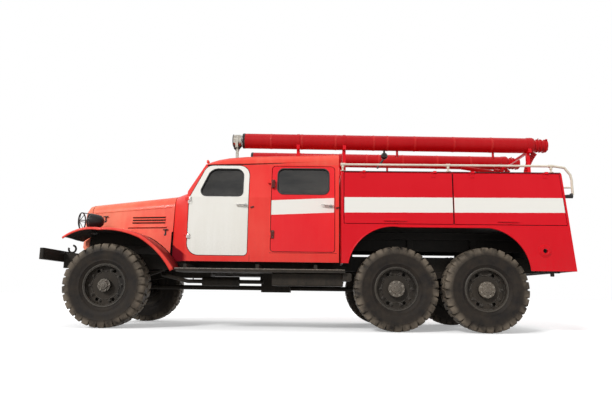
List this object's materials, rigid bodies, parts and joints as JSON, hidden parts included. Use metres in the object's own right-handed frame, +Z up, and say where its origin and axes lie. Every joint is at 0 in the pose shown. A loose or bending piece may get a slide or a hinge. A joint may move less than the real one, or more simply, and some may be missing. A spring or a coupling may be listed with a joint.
{
  "type": "fire engine",
  "caption": "Bonneted six-wheeled fire engine with a crew cab, lockers, twin roof hose cases and white doors and stripe.",
  "frame": {"origin": "on the ground under the middle of the overall box", "axes": "+X forward, towards the front bumper; +Y to the left-hand side; +Z up"},
  "size_m": [6.75, 2.332, 2.667],
  "materials": {
    "red_paint": "gloss",
    "white_paint": "gloss",
    "black_paint": "satin",
    "tyre_rubber": "matte",
    "clear_glass": "gloss",
    "seat_leather": "satin",
    "cast_iron": "matte",
    "aluminium_casting": "satin",
    "cream_paint": "gloss",
    "chrome_plate": "gloss"
  },
  "bodies": {
    "chassis": {"body_shell": "red_paint", "cab_roof": "red_paint", "cab_seats": "seat_leather", "cab_shell": "red_paint", "case_supports": "red_paint", "dashboard": "black_paint", "driveline": "black_paint", "engine_and_radiator": "cast_iron", "exhaust_pipe": "black_paint", "frame_rails": "black_paint", "front_axle": "black_paint", "front_bumper": "black_paint", "front_fenders": "red_paint", "handrails": "cream_paint", "headlamp_lenses": "clear_glass", "headlamps": "black_paint", "hose_cases": "red_paint", "hose_couplings": "aluminium_casting", "leaf_springs": "black_paint", "pump_unit": "cast_iron", "radiator_grille": "black_paint", "radiator_shell": "red_paint", "rear_axles": "black_paint", "rear_lamps": "black_paint", "running_boards": "black_paint", "searchlight": "chrome_plate", "side_boxes": "black_paint", "towing_hooks": "black_paint", "water_monitor": "black_paint", "water_tank": "red_paint", "windscreen_glass": "clear_glass"},
    "knuckle_left": {"knuckle_left": "black_paint"},
    "wheel_front_left": {"wheel_front_left": "black_paint", "tyre_front_left": "tyre_rubber"},
    "wheel_middle_left": {"wheel_middle_left": "black_paint", "tyre_middle_left": "tyre_rubber"},
    "wheel_rear_left": {"wheel_rear_left": "black_paint", "tyre_rear_left": "tyre_rubber"},
    "front_door_left": {"front_door_left": "white_paint", "front_door_glass_left": "clear_glass"},
    "crew_door_left": {"crew_door_left": "red_paint", "crew_door_glass_left": "clear_glass"},
    "locker_door_front_left": {"locker_door_front_left": "red_paint"},
    "locker_door_rear_left": {"locker_door_rear_left": "red_paint"},
    "hood_left": {"hood_left": "red_paint"},
    "knuckle_right": {"knuckle_right": "black_paint"},
    "wheel_front_right": {"wheel_front_right": "black_paint", "tyre_front_right": "tyre_rubber"},
    "wheel_middle_right": {"wheel_middle_right": "black_paint", "tyre_middle_right": "tyre_rubber"},
    "wheel_rear_right": {"wheel_rear_right": "black_paint", "tyre_rear_right": "tyre_rubber"},
    "front_door_right": {"front_door_right": "white_paint", "front_door_glass_right": "clear_glass"},
    "crew_door_right": {"crew_door_right": "red_paint", "crew_door_glass_right": "clear_glass"},
    "locker_door_front_right": {"locker_door_front_right": "red_paint"},
    "locker_door_rear_right": {"locker_door_rear_right": "red_paint"},
    "hood_right": {"hood_right": "red_paint"},
    "rear_door": {"rear_door": "red_paint"}
  },
  "joints": [
    {"name": "steer_left", "type": "hinge", "parent": "chassis", "child": "knuckle_left", "pos_m": [2.515, 0.7605, 0.5271], "axis": [0, 0, 1], "range_deg": [-28, 28]},
    {"name": "spin_front_left", "type": "hinge", "parent": "knuckle_left", "child": "wheel_front_left", "pos_m": [2.515, 0.8775, 0.5271], "axis": [0, 1, 0], "continuous": true},
    {"name": "spin_middle_left", "type": "hinge", "parent": "chassis", "child": "wheel_middle_left", "pos_m": [-1.15, 0.8775, 0.5271], "axis": [0, 1, 0], "continuous": true},
    {"name": "spin_rear_left", "type": "hinge", "parent": "chassis", "child": "wheel_rear_left", "pos_m": [-2.27, 0.8775, 0.5271], "axis": [0, 1, 0], "continuous": true},
    {"name": "front_door_left_swing", "type": "hinge", "parent": "chassis", "child": "front_door_left", "pos_m": [1.529, 0.879, 1.4], "axis": [0, 0, -1], "range_deg": [0, 70]},
    {"name": "crew_door_left_swing", "type": "hinge", "parent": "chassis", "child": "crew_door_left", "pos_m": [0.447, 0.879, 1.4], "axis": [0, 0, -1], "range_deg": [0, 70]},
    {"name": "locker_door_front_left_lift", "type": "hinge", "parent": "chassis", "child": "locker_door_front_left", "pos_m": [-1.185, 1.159, 1.972], "axis": [1, 0, 0], "range_deg": [0, 85]},
    {"name": "locker_door_rear_left_lift", "type": "hinge", "parent": "chassis", "child": "locker_door_rear_left", "pos_m": [-2.525, 1.159, 1.972], "axis": [1, 0, 0], "range_deg": [0, 85]},
    {"name": "hood_left_lift", "type": "hinge", "parent": "chassis", "child": "hood_left", "pos_m": [2.955, 0.012, 1.666], "axis": [0.9957, 0, -0.0928], "range_deg": [0, 65]},
    {"name": "steer_right", "type": "hinge", "parent": "chassis", "child": "knuckle_right", "pos_m": [2.515, -0.7605, 0.5271], "axis": [0, 0, 1], "range_deg": [-28, 28]},
    {"name": "spin_front_right", "type": "hinge", "parent": "knuckle_right", "child": "wheel_front_right", "pos_m": [2.515, -0.8775, 0.5271], "axis": [0, 1, 0], "continuous": true},
    {"name": "spin_middle_right", "type": "hinge", "parent": "chassis", "child": "wheel_middle_right", "pos_m": [-1.15, -0.8775, 0.5271], "axis": [0, 1, 0], "continuous": true},
    {"name": "spin_rear_right", "type": "hinge", "parent": "chassis", "child": "wheel_rear_right", "pos_m": [-2.27, -0.8775, 0.5271], "axis": [0, 1, 0], "continuous": true},
    {"name": "front_door_right_swing", "type": "hinge", "parent": "chassis", "child": "front_door_right", "pos_m": [1.529, -0.879, 1.4], "axis": [0, 0, 1], "range_deg": [0, 70]},
    {"name": "crew_door_right_swing", "type": "hinge", "parent": "chassis", "child": "crew_door_right", "pos_m": [0.447, -0.879, 1.4], "axis": [0, 0, 1], "range_deg": [0, 70]},
    {"name": "locker_door_front_right_lift", "type": "hinge", "parent": "chassis", "child": "locker_door_front_right", "pos_m": [-1.185, -1.159, 1.972], "axis": [-1, 0, 0], "range_deg": [0, 85]},
    {"name": "locker_door_rear_right_lift", "type": "hinge", "parent": "chassis", "child": "locker_door_rear_right", "pos_m": [-2.525, -1.159, 1.972], "axis": [-1, 0, 0], "range_deg": [0, 85]},
    {"name": "hood_right_lift", "type": "hinge", "parent": "chassis", "child": "hood_right", "pos_m": [2.955, -0.012, 1.666], "axis": [-0.9957, 0, 0.0928], "range_deg": [0, 65]},
    {"name": "rear_door_swing", "type": "hinge", "parent": "chassis", "child": "rear_door", "pos_m": [-3.25267, 0.424, 1.62079], "axis": [0.0884, 0, 0.9961], "range_deg": [-100, 0]}
  ],
  "couplings": [
    {"joint": "steer_right", "follows": "steer_left", "ratio": 1}
  ]
}
